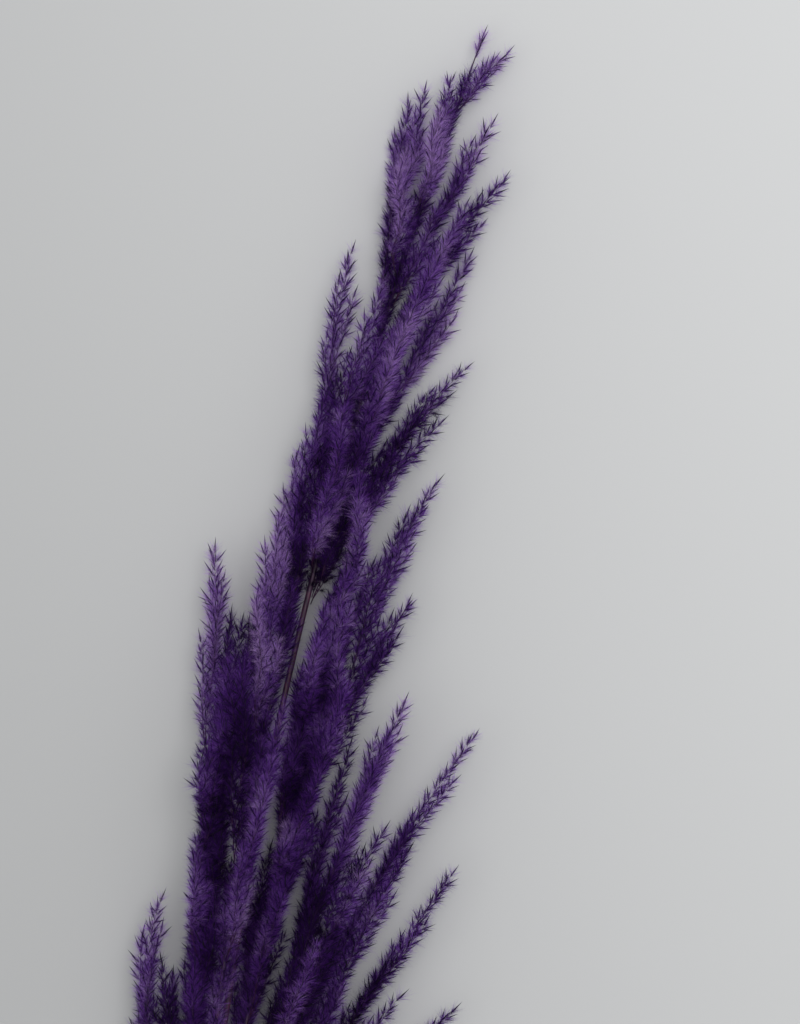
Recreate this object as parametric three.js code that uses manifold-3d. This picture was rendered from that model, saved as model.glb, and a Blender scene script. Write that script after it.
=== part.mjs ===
// A bundle of pampas grass: seven cut stems with feathery plumes, tied with twine and laid down.
//
// Millimetres. +Y runs from the cut ends to the plume tips, +X is the bundle's right as it is
// looked down on, and +Z is up. The bundle lies on the plane Z = 0, with the origin at the middle
// of its footprint.
import * as THREE from "three";
import { mergeVertices } from "three/addons/utils/BufferGeometryUtils.js";
import Module from "manifold-3d";

const wasm = await Module();
wasm.setup();

// ---- Driving dimensions ----

// The bundle's axis: straight as far as the tie, then nodding to one side and rising over the belly.
const LENGTH = 1150; // cut ends to the tip of the longest plume
const SWEEP = 184; // how far the longest tip has nodded to the side
const BELLY_HEIGHT = 46; // height of the axis where the plumes are thickest
const BELLY_DOWN = 520; // that place, measured back from the longest tip
const TIP_HEIGHT = 15; // height of the longest tip above the surface

// Stems.
const STEM_DIAMETER = 5; // at the cut end
const NECK_DIAMETER = 3.4; // where the plume begins
const RACHIS_LENGTH = 350; // of the stem inside its plume
const STEM_TIP_DIAMETER = 1.1;
const FOOT_SPLAY = 0.35; // how much further apart the stems stand at the cut ends than in the tie
const STEM_RINGS = 16;
const STEM_SIDES = 6;

// Plume branches, each a slender spindle that bounds its racemes and their hairs.
const BRANCH_GIRTH = 21; // widest across
const BRANCH_ROOT = 1.5; // across where it leaves the stem
const BRANCH_TIP = 1.6; // across at its last spikelet
const FULL_GIRTH_LENGTH = 75; // a branch shorter than this is slimmer in proportion
const BRANCH_RINGS = 9; // at most
const RING_GAP = 10; // at least, so that the rings of a short branch keep clear of each other
const BRANCH_SIDES = 6;

// Twine tie.
const TIE_Y = 180; // from the cut ends to the middle of the tie
const TWINE_DIAMETER = 2.6;
const TWINE_TURNS = 5;
const TURN_GAP = 0.25; // between one turn and the next
const TAIL_LENGTH = 24; // of each loose end past the knot
const KNOT_WIDTH = 8;

// Air between pieces that touch in the real bundle.
const CLEARANCE = 0.4;

// Colours of the dyed grass and the twine.
const STEM_FINISH = { color: 0x6a2b55, roughness: 0.55, metalness: 0 };
const PLUME_FINISH = { color: 0x43207a, roughness: 0.85, metalness: 0 };
const TWINE_FINISH = { color: 0xb08d57, roughness: 0.95, metalness: 0 };

// ---- The seven plumes ----
//
// Lengths marked "down" are measured back from the longest tip of a bundle TABLE_LENGTH long, and a
// bundle of another length is drawn out or drawn in along its length. "side" is how far a tip
// stands to the right of the bundle's axis and "lift" how far above it. "slot" is the stem's place
// in the tie, in degrees round the middle stem. Each row of branches holds where the branch leaves
// its stem (down), where it ends (down), its tip's side and lift, and how far it bows outward.
const TABLE_LENGTH = 1150;
const PLUMES = [
  {
    down: 4,
    side: 0,
    lift: 0,
    slot: null,
    branches: [
      [50, 14, 21, 2, -3],
      [112, 27, -9, 5, 2],
      [150, 35, -24, 8, 2],
      [178, 41, -31, -4, 10],
      [170, 57, 26, 8, 3],
      [232, 88, 47, 4, -3],
      [300, 131, -34, 0, 20],
      [272, 135, 40, -8, 16],
      [335, 203, 60, -4, 1],
      [348, 238, 53, 12, 2],
      [290, 106, 27, 16, 0],
      [330, 152, -9, 24, 0],
      [344, 178, 16, -10, 0],
    ],
  },
  {
    down: 245,
    side: -8,
    lift: 6,
    slot: 120,
    branches: [
      [360, 222, -22, 2, 4],
      [395, 254, -30, -8, 6],
      [430, 290, -29, 8, 5],
      [465, 330, -29, -6, 5],
      [505, 372, -27, 10, 5],
      [560, 400, 2, 30, 0],
    ],
  },
  {
    down: 325,
    side: 31,
    lift: -4,
    slot: 300,
    branches: [
      [405, 274, 60, 4, -3],
      [460, 343, 63, -8, 6],
      [470, 325, 20, 14, 0],
      [500, 362, 12, -18, 2],
      [530, 392, 37, 18, 0],
      [565, 425, 20, -24, 0],
      [600, 450, 28, 8, 0],
      [640, 492, 10, -16, 2],
      [420, 262, 12, 18, 0],
      [455, 300, 16, -14, 0],
      [500, 345, 12, 24, 0],
    ],
  },
  {
    down: 356,
    side: -38,
    lift: -8,
    slot: 180,
    branches: [
      [450, 311, -65, -10, -3],
      [490, 354, -36, 6, 0],
      [512, 361, -27, -12, -4],
      [560, 415, -31, 8, -4],
      [600, 448, -28, -8, -4],
      [640, 480, -20, 14, 0],
      [665, 522, -26, -18, 0],
    ],
  },
  {
    down: 425,
    side: 65,
    lift: 8,
    slot: 60,
    branches: [
      [540, 404, 73, 2, -6],
      [600, 479, 77, 12, 0],
      [590, 428, 45, -6, 0],
      [660, 512, 48, 16, 0],
      [700, 545, 60, -8, 0],
      [735, 560, 34, 22, 0],
    ],
  },
  {
    down: 535,
    side: 56,
    lift: -14,
    slot: 0,
    branches: [
      [625, 424, 121, -12, -7],
      [665, 492, 94, -4, 2],
      [712, 507, 124, -20, 16],
      [735, 581, 104, -8, 8],
      [770, 592, 139, -22, 0],
    ],
  },
  {
    down: 572,
    side: -33,
    lift: -10,
    slot: 240,
    branches: [
      [665, 521, -50, -18, 24],
      [705, 557, -44, 2, -6],
      [750, 600, -56, -18, 2],
      [785, 618, -14, -16, 0],
    ],
  },
];

// ---- The bundle's axis and the stems on it ----

const SLOT_PITCH = STEM_DIAMETER + CLEARANCE;
const COIL_INNER_RADIUS = SLOT_PITCH + STEM_DIAMETER / 2 + CLEARANCE;
const COIL_RADIUS = COIL_INNER_RADIUS + TWINE_DIAMETER / 2;
const TIE_HEIGHT = COIL_RADIUS + TWINE_DIAMETER / 2; // the tie rests on the surface
const LOWEST_SLOT = SLOT_PITCH * Math.sin(Math.PI / 3);
const FOOT_HEIGHT = LOWEST_SLOT * (1 + FOOT_SPLAY) + STEM_DIAMETER / 2; // so do the cut ends
const BELLY_Y = LENGTH - BELLY_DOWN;

// How far from the cut ends a place marked "down" is.
function fromCutEnds(down) {
  return LENGTH * (1 - down / TABLE_LENGTH);
}

// The bundle's axis at a distance y from the cut ends, on past the longest tip too.
function axisPoint(y) {
  const beyondTie = Math.max(0, (y - TIE_Y) / (LENGTH - TIE_Y));
  let height = THREE.MathUtils.lerp(FOOT_HEIGHT, TIE_HEIGHT, Math.min(1, y / TIE_Y));
  if (y > BELLY_Y) {
    const fall = THREE.MathUtils.smoothstep(y, BELLY_Y, LENGTH);
    height = THREE.MathUtils.lerp(BELLY_HEIGHT, TIP_HEIGHT, fall);
  } else if (y > TIE_Y) {
    const rise = THREE.MathUtils.smoothstep(y, TIE_Y, BELLY_Y);
    height = THREE.MathUtils.lerp(TIE_HEIGHT, BELLY_HEIGHT, rise);
  }
  return new THREE.Vector3(SWEEP * beyondTie ** 2, y, height);
}

// A stem's place in the tie, beside the middle stem or in the middle itself.
function slotOffset(slot) {
  if (slot === null) {
    return new THREE.Vector3();
  }
  const turn = THREE.MathUtils.degToRad(slot);
  return new THREE.Vector3(SLOT_PITCH * Math.cos(turn), 0, SLOT_PITCH * Math.sin(turn));
}

// A stem's centre at a distance y from the cut ends: it leaves the tie along the axis and fans out.
function stemPoint(plume, y) {
  const tipY = fromCutEnds(plume.down);
  const fan = Math.max(0, (y - TIE_Y) / (tipY - TIE_Y)) ** 2;
  const splay = 1 + FOOT_SPLAY * Math.max(0, (TIE_Y - y) / TIE_Y);
  const point = axisPoint(y).addScaledVector(slotOffset(plume.slot), splay);
  point.x += plume.side * fan;
  point.z += plume.lift * fan;
  return point;
}

function stemRadius(plume, y) {
  const tipY = fromCutEnds(plume.down);
  const neckY = tipY - RACHIS_LENGTH;
  const diameter =
    y < neckY
      ? THREE.MathUtils.mapLinear(y, 0, neckY, STEM_DIAMETER, NECK_DIAMETER)
      : THREE.MathUtils.mapLinear(y, neckY, tipY, NECK_DIAMETER, STEM_TIP_DIAMETER);
  return diameter / 2;
}

// ---- Rods: bodies that are told by the points along their middle and a radius at each ----

// The rod of one stem, with its rings evenly along the bundle.
function stemRod(plume) {
  const middle = [];
  const radii = [];
  for (let ring = 0; ring <= STEM_RINGS; ring += 1) {
    const y = (fromCutEnds(plume.down) * ring) / STEM_RINGS;
    middle.push(stemPoint(plume, y));
    radii.push(stemRadius(plume, y));
  }
  return { middle, radii };
}

// The half width that a branch would have with room all round it: narrow where it leaves the stem,
// full by the middle, and fine at the tip.
function freeRadius(along, girth) {
  const body = Math.max(0, Math.sin(Math.PI * along ** 0.75)) ** 0.7;
  const ends = THREE.MathUtils.lerp(BRANCH_ROOT, BRANCH_TIP, along);
  return (ends + (girth - ends) * body) / 2;
}

// The rod of one branch as it would grow: out of the side of its stem, along it, and then away.
function branchRod(plume, [fromDown, tipDown, side, lift, bow]) {
  const rootY = fromCutEnds(fromDown);
  const tipY = fromCutEnds(tipDown);
  const tip = axisPoint(tipY);
  tip.x += side;
  tip.z += lift;
  const onStem = stemPoint(plume, rootY);
  const outward = tip.clone().sub(stemPoint(plume, tipY)).setY(0).normalize();
  const standOff = stemRadius(plume, rootY) + BRANCH_ROOT / 2 + CLEARANCE;
  const root = onStem.addScaledVector(outward, standOff);
  const elbowY = (rootY + tipY) / 2;
  const swing = standOff + BRANCH_GIRTH / 4 + bow;
  const elbow = stemPoint(plume, elbowY).addScaledVector(outward, swing);
  const curve = new THREE.QuadraticBezierCurve3(root, elbow, tip);
  const length = curve.getLength();
  const rings = Math.min(BRANCH_RINGS, Math.ceil(length / RING_GAP));
  const girth = BRANCH_GIRTH * Math.min(1, length / FULL_GIRTH_LENGTH);
  const middle = curve.getPoints(rings);
  const radii = middle.map((_, ring) => freeRadius(ring / rings, girth));
  return { middle, radii };
}

// ---- Packing: branches lie against their neighbours and the surface, and none runs into another ----

const SETTLE_ROUNDS = 60;
const SIDEWAYS_GIVE = 0.12; // branches move up and down more easily than sideways
const RETURN_PULL = 0.04; // and are drawn back to where they grew
const BRANCH_GIVE = 0.25; // of what is missing between two branches, that each yields in a round
const NEIGHBOUR_RING = 0.25; // of a ring's move that the rings beside it make too
const SAMPLES_PER_RING = 8;

const segment = new THREE.Line3();
const nearest = new THREE.Vector3();

// How far a point is from a rod's middle line, the place it is nearest to and the radius there.
function reachOf(point, rod) {
  let distance = Infinity;
  let radius = 0;
  const place = new THREE.Vector3();
  for (let ring = 0; ring + 1 < rod.middle.length; ring += 1) {
    segment.set(rod.middle[ring], rod.middle[ring + 1]);
    const part = segment.closestPointToPointParameter(point, true);
    segment.at(part, nearest);
    const gap = point.distanceTo(nearest);
    if (gap < distance) {
      distance = gap;
      radius = THREE.MathUtils.lerp(rod.radii[ring], rod.radii[ring + 1], part);
      place.copy(nearest);
    }
  }
  return { distance, radius, place };
}

// Moves one branch clear of the stems, and part of the way from its neighbours, which move as well.
function settleOnce(branch, grown, neighbours, stems) {
  const moves = branch.middle.map(() => new THREE.Vector3());
  for (let ring = 1; ring < branch.middle.length; ring += 1) {
    const point = branch.middle[ring];
    const radius = branch.radii[ring];
    for (const rod of [...neighbours, ...stems]) {
      const share = stems.includes(rod) ? 1 : BRANCH_GIVE;
      const reach = reachOf(point, rod);
      const lack = radius + reach.radius + CLEARANCE - reach.distance;
      if (lack > 0) {
        const away = point.clone().sub(reach.place).setY(0);
        away.x *= SIDEWAYS_GIVE;
        moves[ring].addScaledVector(away.normalize(), lack * share);
      }
    }
    moves[ring].addScaledVector(grown.middle[ring].clone().sub(point), RETURN_PULL);
  }
  branch.middle.forEach((point, ring) => {
    if (ring > 0) {
      const next = moves[Math.min(ring + 1, moves.length - 1)];
      point.addScaledVector(moves[ring], 1 - 2 * NEIGHBOUR_RING);
      point.addScaledVector(moves[ring - 1], NEIGHBOUR_RING).addScaledVector(next, NEIGHBOUR_RING);
      point.z = Math.max(point.z, branch.radii[ring]);
    }
  });
}

// The most a branch may measure at a point: half the way to another branch, or all that a stem
// leaves, and never through the surface.
function roomAt(point, neighbours, stems) {
  let room = point.z;
  for (const rod of neighbours) {
    room = Math.min(room, (reachOf(point, rod).distance - CLEARANCE) / 2);
  }
  for (const rod of stems) {
    const reach = reachOf(point, rod);
    room = Math.min(room, reach.distance - reach.radius - CLEARANCE);
  }
  return room;
}

// Narrows a branch where its neighbours press on it, ring by ring and between the rings.
function fitBetween(branch, neighbours, stems) {
  const last = branch.middle.length - 1;
  return branch.radii.map((free, ring) => {
    let radius = free;
    const from = Math.max(0, ring - 1) * SAMPLES_PER_RING;
    const to = Math.min(last, ring + 1) * SAMPLES_PER_RING;
    for (let sample = from; sample <= to; sample += 1) {
      const start = Math.min(last - 1, Math.floor(sample / SAMPLES_PER_RING));
      const part = sample / SAMPLES_PER_RING - start;
      const point = branch.middle[start].clone().lerp(branch.middle[start + 1], part);
      radius = Math.min(radius, roomAt(point, neighbours, stems));
    }
    return radius;
  });
}

// ---- Geometry ----

// A closed round rod: a lathed spindle with one ring for each point, its rings carried to the points.
function rodGeometry({ middle, radii }, sides) {
  const last = middle.length - 1;
  const profile = [
    new THREE.Vector2(0, 0),
    ...radii.map((radius, ring) => new THREE.Vector2(radius, ring)),
    new THREE.Vector2(0, last),
  ];
  const geometry = new THREE.LatheGeometry(profile, sides);
  const across = [];
  const up = [];
  middle.forEach((_, ring) => {
    const before = middle[Math.max(0, ring - 1)];
    const after = middle[Math.min(last, ring + 1)];
    const along = after.clone().sub(before).normalize();
    const sideways = new THREE.Vector3(1, 0, 0).projectOnPlane(along).normalize();
    across.push(sideways);
    up.push(sideways.clone().cross(along));
  });
  const positions = geometry.getAttribute("position");
  const vertex = new THREE.Vector3();
  for (let index = 0; index < positions.count; index += 1) {
    vertex.fromBufferAttribute(positions, index);
    const ring = Math.round(vertex.y);
    const place = middle[ring].clone();
    place.addScaledVector(across[ring], vertex.x).addScaledVector(up[ring], vertex.z);
    positions.setXYZ(index, place.x, place.y, place.z);
  }
  geometry.computeVertexNormals();
  return geometry;
}

// A closed round cord of one thickness along a curve.
function cordGeometry(curve, diameter, steps) {
  const section = new THREE.Shape().absarc(0, 0, diameter / 2, 0, 2 * Math.PI);
  return new THREE.ExtrudeGeometry(section, { extrudePath: curve, steps, curveSegments: 4 });
}

// A geometry as a solid that can be joined to others.
function solidFrom(geometry) {
  const loose = geometry.index ? geometry.toNonIndexed() : geometry;
  const bare = new THREE.BufferGeometry();
  bare.setAttribute("position", loose.getAttribute("position"));
  const merged = mergeVertices(bare, 1e-3);
  return new wasm.Manifold(
    new wasm.Mesh({
      numProp: 3,
      vertProperties: merged.getAttribute("position").array,
      triVerts: new Uint32Array(merged.index.array),
    }),
  );
}

function geometryFrom(solid) {
  const mesh = solid.getMesh();
  const geometry = new THREE.BufferGeometry();
  geometry.setAttribute("position", new THREE.BufferAttribute(mesh.vertProperties, 3));
  geometry.setIndex(new THREE.BufferAttribute(mesh.triVerts, 1));
  geometry.computeVertexNormals();
  return geometry;
}

// The helix of the twine round the stems, from the top of one side of the tie to the top of the other.
class CoilCurve extends THREE.Curve {
  getPoint(along, target = new THREE.Vector3()) {
    const middle = axisPoint(TIE_Y);
    const turn = Math.PI / 2 + 2 * Math.PI * TWINE_TURNS * along;
    const advance = TWINE_TURNS * (TWINE_DIAMETER + TURN_GAP) * (along - 0.5);
    return target.set(
      middle.x + COIL_RADIUS * Math.cos(turn),
      middle.y + advance,
      middle.z + COIL_RADIUS * Math.sin(turn),
    );
  }
}

// The twine: its coil, a flat knot on top and the two tails that lie away from it.
function twineGeometry() {
  const stepsPerTurn = 18;
  const coil = cordGeometry(new CoilCurve(), TWINE_DIAMETER, TWINE_TURNS * stepsPerTurn);
  const top = axisPoint(TIE_Y);
  top.z += COIL_RADIUS + TWINE_DIAMETER * 0.75;
  const knot = new THREE.SphereGeometry(0.5, 12, 8);
  knot.scale(KNOT_WIDTH, KNOT_WIDTH * 0.9, TWINE_DIAMETER * 1.7);
  knot.translate(top.x, top.y, top.z);
  let solid = solidFrom(coil).add(solidFrom(knot));
  for (const hand of [-1, 1]) {
    const tail = new THREE.QuadraticBezierCurve3(
      new THREE.Vector3(top.x, top.y, top.z),
      new THREE.Vector3(top.x + hand * TAIL_LENGTH * 0.55, top.y + TAIL_LENGTH * 0.3, top.z + 1),
      new THREE.Vector3(top.x + hand * TAIL_LENGTH * 0.75, top.y + TAIL_LENGTH * 0.8, top.z - 5),
    );
    solid = solid.add(solidFrom(cordGeometry(tail, TWINE_DIAMETER, 8)));
  }
  return geometryFrom(solid);
}

// ---- The bundle ----

const stems = PLUMES.map((plume) => stemRod(plume));
const grown = PLUMES.map((plume) => plume.branches.map((row) => branchRod(plume, row)));
const settled = grown.map((rods) =>
  rods.map(({ middle, radii }) => ({ middle: middle.map((point) => point.clone()), radii })),
);
const branches = settled.flat();
const asGrown = grown.flat();
for (let round = 0; round < SETTLE_ROUNDS; round += 1) {
  branches.forEach((branch, index) => {
    const neighbours = branches.filter((other) => other !== branch);
    settleOnce(branch, asGrown[index], neighbours, stems);
  });
}
const fitted = branches.map((branch) => {
  const neighbours = branches.filter((other) => other !== branch);
  return { middle: branch.middle, radii: fitBetween(branch, neighbours, stems) };
});

const bundle = new THREE.Group();

function addPiece(name, geometry, finish) {
  const mesh = new THREE.Mesh(geometry, new THREE.MeshStandardMaterial(finish));
  mesh.name = name;
  bundle.add(mesh);
}

let next = 0;
PLUMES.forEach((plume, index) => {
  addPiece(`stem_${index + 1}`, rodGeometry(stems[index], STEM_SIDES), STEM_FINISH);
  plume.branches.forEach((_, branchIndex) => {
    const number = String(branchIndex + 1).padStart(2, "0");
    const geometry = rodGeometry(fitted[next], BRANCH_SIDES);
    addPiece(`plume_${index + 1}_branch_${number}`, geometry, PLUME_FINISH);
    next += 1;
  });
});
addPiece("twine_tie", twineGeometry(), TWINE_FINISH);

// The origin goes to the middle of the footprint.
const extent = new THREE.Box3().setFromObject(bundle, true);
const centre = extent.getCenter(new THREE.Vector3());
bundle.position.set(-centre.x, -centre.y, -extent.min.z);

export default bundle;
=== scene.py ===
"""A tied bundle of dyed pampas grass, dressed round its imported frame.

Metres, +Z up. +Y runs from the cut ends to the plume tips, and the bundle lies on Z = 0. Every
plume branch grows along the middle line of its solid in the frame: a main raceme, side racemes
that leave it at a narrow angle, and sprigs of pointed spikelets with silky hairs on all of them.
"""

import logging
import math
from dataclasses import dataclass, field, replace
from enum import Enum

import bmesh
import bpy
import numpy as np
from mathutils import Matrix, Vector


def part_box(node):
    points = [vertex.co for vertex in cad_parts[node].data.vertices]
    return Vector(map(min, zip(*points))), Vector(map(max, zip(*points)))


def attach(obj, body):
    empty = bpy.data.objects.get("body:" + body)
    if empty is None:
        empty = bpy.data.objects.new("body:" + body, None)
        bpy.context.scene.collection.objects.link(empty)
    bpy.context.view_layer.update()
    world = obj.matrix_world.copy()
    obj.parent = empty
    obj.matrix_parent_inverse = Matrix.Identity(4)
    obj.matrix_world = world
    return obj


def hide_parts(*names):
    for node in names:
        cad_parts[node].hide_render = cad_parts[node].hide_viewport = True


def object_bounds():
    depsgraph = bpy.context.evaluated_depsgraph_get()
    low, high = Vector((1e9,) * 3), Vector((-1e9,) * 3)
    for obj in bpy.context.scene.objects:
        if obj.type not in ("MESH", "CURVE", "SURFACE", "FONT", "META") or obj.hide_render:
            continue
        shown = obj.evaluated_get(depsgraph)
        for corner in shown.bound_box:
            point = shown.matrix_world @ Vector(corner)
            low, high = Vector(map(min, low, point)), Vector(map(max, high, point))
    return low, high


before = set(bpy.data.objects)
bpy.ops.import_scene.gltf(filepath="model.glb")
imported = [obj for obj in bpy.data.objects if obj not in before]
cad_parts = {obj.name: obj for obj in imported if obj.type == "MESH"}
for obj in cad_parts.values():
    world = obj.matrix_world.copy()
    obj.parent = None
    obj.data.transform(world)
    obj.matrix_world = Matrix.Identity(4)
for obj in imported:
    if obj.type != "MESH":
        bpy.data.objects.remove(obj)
CAD_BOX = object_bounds()

Array = np.ndarray
Chances = np.random.Generator
Material = bpy.types.Material
Node = bpy.types.Node
Socket = bpy.types.NodeSocket
Span = tuple[float, float]
Tree = bpy.types.ShaderNodeTree

LOG = logging.getLogger("pampas")
MM = 0.001
SEED = 11
GOLDEN_TURN = math.radians(137.5)
TONE_MAP = "OFBake"
SURFACE_GAP = 0.2 * MM


class Slot(Enum):
    """The record's material slots."""

    STEM = "stem"
    PLUME = "plume"
    TWINE = "twine"


class Part(Enum):
    """The finishes on a plume, in the order of its material slots, each with its band of the tone map."""

    HAIR = 0
    SPIKELET = 1
    STALK = 2


PART_BANDS = {Part.HAIR: (0.0, 0.5), Part.SPIKELET: (0.5, 0.9), Part.STALK: (0.9, 1.0)}
TONE_STEPS = 16


def rgba(red: float, green: float, blue: float) -> tuple[float, float, float, float]:
    """Turns an 8-bit screen colour into the linear colour that a shader takes.

    Args:
        red: The screen colour's red, 0 to 255.
        green: Its green.
        blue: Its blue.

    Returns:
        The linear colour with full alpha.
    """

    def linear(value: float) -> float:
        """Undoes the screen's curve for one channel."""
        share = value / 255
        return share / 12.92 if share <= 0.04045 else ((share + 0.055) / 1.055) ** 2.4

    return linear(red), linear(green), linear(blue), 1.0


# ---- Shapes made of triangles ----


@dataclass(frozen=True)
class Facets:
    """Triangles, each with the part it belongs to, a tone, and its corners' places on the tone map.

    A place's first number goes across the shape and its second along it, both from 0 to 1.
    """

    corners: Array
    triangles: Array
    part: Array
    tone: Array
    chart: Array

    def placed(self, axes: Array, origins: Array, tones: Array) -> "Facets":
        """Copies the shape to many places.

        Args:
            axes: One 3 by 3 matrix per copy, whose columns are the copy's own axes.
            origins: One point per copy.
            tones: What each copy adds to its triangles' tone.

        Returns:
            All the copies as one shape.
        """
        copies = len(origins)
        corners = np.einsum("kij,nj->kni", axes, self.corners) + origins[:, None, :]
        steps = (np.arange(copies) * len(self.corners))[:, None, None]
        return Facets(
            corners.reshape(-1, 3),
            (self.triangles[None] + steps).reshape(-1, 3),
            np.tile(self.part, copies),
            (self.tone[None] + tones[:, None]).reshape(-1),
            np.tile(self.chart, (copies, 1, 1)),
        )

    @staticmethod
    def joined(shapes: list["Facets"]) -> "Facets":
        """Puts several shapes into one.

        Args:
            shapes: The shapes.

        Returns:
            All of them as one shape.
        """
        starts = np.cumsum([0] + [len(shape.corners) for shape in shapes[:-1]])
        return Facets(
            np.concatenate([shape.corners for shape in shapes]),
            np.concatenate([s.triangles + start for s, start in zip(shapes, starts)]),
            np.concatenate([shape.part for shape in shapes]),
            np.concatenate([shape.tone for shape in shapes]),
            np.concatenate([shape.chart for shape in shapes]),
        )

    @staticmethod
    def from_bmesh(bm: bmesh.types.BMesh, part: Part, tone: float = 0.0) -> "Facets":
        """Reads a finished bmesh, whose UV layer holds its places on the tone map, and frees it.

        Args:
            bm: The mesh.
            part: The finish it wears.
            tone: Its tone.

        Returns:
            The shape.
        """
        bmesh.ops.triangulate(bm, faces=bm.faces[:])
        bm.verts.index_update()
        layer = bm.loops.layers.uv.active
        corners = np.array([vert.co for vert in bm.verts])
        triangles = np.array([[loop.vert.index for loop in face.loops] for face in bm.faces])
        chart = np.array([[loop[layer].uv for loop in face.loops] for face in bm.faces])
        bm.free()
        count = len(triangles)
        return Facets(corners, triangles, np.full(count, part.value), np.full(count, tone), chart)


def lathe(profile: list[Span], sides: int) -> bmesh.types.BMesh:
    """Turns a profile round the Z axis into a closed shape, with its tone map on it.

    Args:
        profile: Radius and height of each point, from the bottom of the axis to its top.
        sides: How many sides the shape has.

    Returns:
        The shape's bmesh. The map runs round it once and from its bottom to its top.
    """
    bm = bmesh.new()
    points = [bm.verts.new((radius, 0, height)) for radius, height in profile]
    for lower, upper in zip(points, points[1:]):
        bm.edges.new((lower, upper))
    geom = bm.verts[:] + bm.edges[:]
    turned = {"cent": (0, 0, 0), "axis": (0, 0, 1), "angle": math.tau, "steps": sides}
    bmesh.ops.spin(bm, geom=geom, use_merge=True, **turned)
    bmesh.ops.remove_doubles(bm, verts=bm.verts[:], dist=1e-7)
    bmesh.ops.recalc_face_normals(bm, faces=bm.faces[:])
    low = profile[0][1]
    height = profile[-1][1] - low
    layer = bm.loops.layers.uv.new(TONE_MAP)
    for face in bm.faces:
        middle = face.calc_center_median()
        turn = math.atan2(middle.y, middle.x)
        for loop in face.loops:
            spot = loop.vert.co
            own = math.atan2(spot.y, spot.x) if spot.xy.length > 1e-9 else turn
            near = turn + (own - turn + math.pi) % math.tau - math.pi
            across = min(1.0, max(0.0, near / math.tau + 0.5))
            loop[layer].uv = (across, (spot.z - low) / height)
    return bm


def unit(vectors: Array) -> Array:
    """Scales each vector to a length of 1."""
    return vectors / np.maximum(np.linalg.norm(vectors, axis=-1, keepdims=True), 1e-12)


def leaning(lean: Array, turn: Array) -> Array:
    """Gives directions that lean away from Z, each by its own angle and to its own side."""
    return np.stack([np.sin(lean) * np.cos(turn), np.sin(lean) * np.sin(turn), np.cos(lean)], -1)


def aimed(directions: Array, rolls: Array, scales: Array) -> Array:
    """Makes the axes of copies whose own Z points along given directions.

    Args:
        directions: One vector per copy.
        rolls: How far each copy is turned round its own Z.
        scales: The size of each copy.

    Returns:
        One matrix per copy.
    """
    along = unit(directions)
    helper = np.where(np.abs(along[:, 2:]) < 0.9, [[0.0, 0.0, 1.0]], [[1.0, 0.0, 0.0]])
    first = unit(np.cross(helper, along))
    second = np.cross(along, first)
    cos, sin = np.cos(rolls)[:, None], np.sin(rolls)[:, None]
    turned = first * cos + second * sin
    axes = np.stack([turned, np.cross(along, turned), along], axis=-1)
    return axes * scales[:, None, None]


@dataclass(frozen=True)
class Path:
    """A smooth line through space, told by many close points."""

    points: Array

    @staticmethod
    def through(stations: Array, steps: int = 12) -> "Path":
        """Runs a smooth line through stations.

        Args:
            stations: The points to pass through.
            steps: Points made from each station to the next.

        Returns:
            The line.
        """
        ends = (2 * stations[:1] - stations[1:2], 2 * stations[-1:] - stations[-2:-1])
        s = np.concatenate([ends[0], stations, ends[1]])
        t = (np.arange(steps) / steps)[:, None]
        spans = [
            0.5
            * (
                2 * s[i]
                + (s[i + 1] - s[i - 1]) * t
                + (2 * s[i - 1] - 5 * s[i] + 4 * s[i + 1] - s[i + 2]) * t**2
                + (3 * s[i] - s[i - 1] - 3 * s[i + 1] + s[i + 2]) * t**3
            )
            for i in range(1, len(stations))
        ]
        return Path(np.concatenate([*spans, stations[-1:]]))

    @property
    def length(self) -> float:
        """The line's length."""
        return float(np.linalg.norm(np.diff(self.points, axis=0), axis=1).sum())

    def at(self, distances: Array) -> tuple[Array, Array]:
        """Finds places on the line, or straight on past its end.

        Args:
            distances: Distances from the line's start.

        Returns:
            The points, and the line's direction at each.
        """
        walked = np.concatenate(
            [[0], np.cumsum(np.linalg.norm(np.diff(self.points, axis=0), axis=1))]
        )
        tangents = unit(np.gradient(self.points, axis=0))
        inside = np.clip(distances, 0, walked[-1])
        places = np.stack([np.interp(inside, walked, self.points[:, i]) for i in range(3)], -1)
        ways = unit(np.stack([np.interp(inside, walked, tangents[:, i]) for i in range(3)], -1))
        return places + ways * (distances - inside)[:, None], ways

    def branching(
        self, start: float, length: float, turn: float, reach: float, bow: float, stations: int
    ) -> "Path":
        """Makes a line that leaves this one, swings out and runs on beside it.

        Args:
            start: The distance at which it leaves.
            length: How far it runs.
            turn: The side that it leaves to.
            reach: How far out its end is.
            bow: How late it swings out: under 1 is early.
            stations: How many points it is run through.

        Returns:
            The line.
        """
        along = np.linspace(0, 1, stations)
        places, ways = self.at(start + along * length)
        sideways, upward = across(ways)
        out = sideways * math.cos(turn) + upward * math.sin(turn)
        return Path.through(places + out * (reach * along**bow)[:, None])


def across(ways: Array) -> tuple[Array, Array]:
    """Gives the sideways and the upward direction across each direction of travel."""
    sideways = unit(np.cross(ways, [0.0, 0.0, 1.0]))
    return sideways, np.cross(sideways, ways)


def bent(rod: Facets, path: Path, radii: Array) -> Facets:
    """Carries a straight rod, one unit long and one unit in radius, onto a path.

    Args:
        rod: The rod along Z.
        path: The line that its middle follows.
        radii: Its radius at evenly spaced places from start to end.

    Returns:
        The bent rod.
    """
    share = rod.corners[:, 2]
    places, ways = path.at(share * path.length)
    sideways, upward = across(ways)
    width = np.interp(share, np.linspace(0, 1, len(radii)), radii)[:, None]
    corners = places + (sideways * rod.corners[:, :1] + upward * rod.corners[:, 1:2]) * width
    return Facets(corners, rod.triangles, rod.part, rod.tone, rod.chart)


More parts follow.
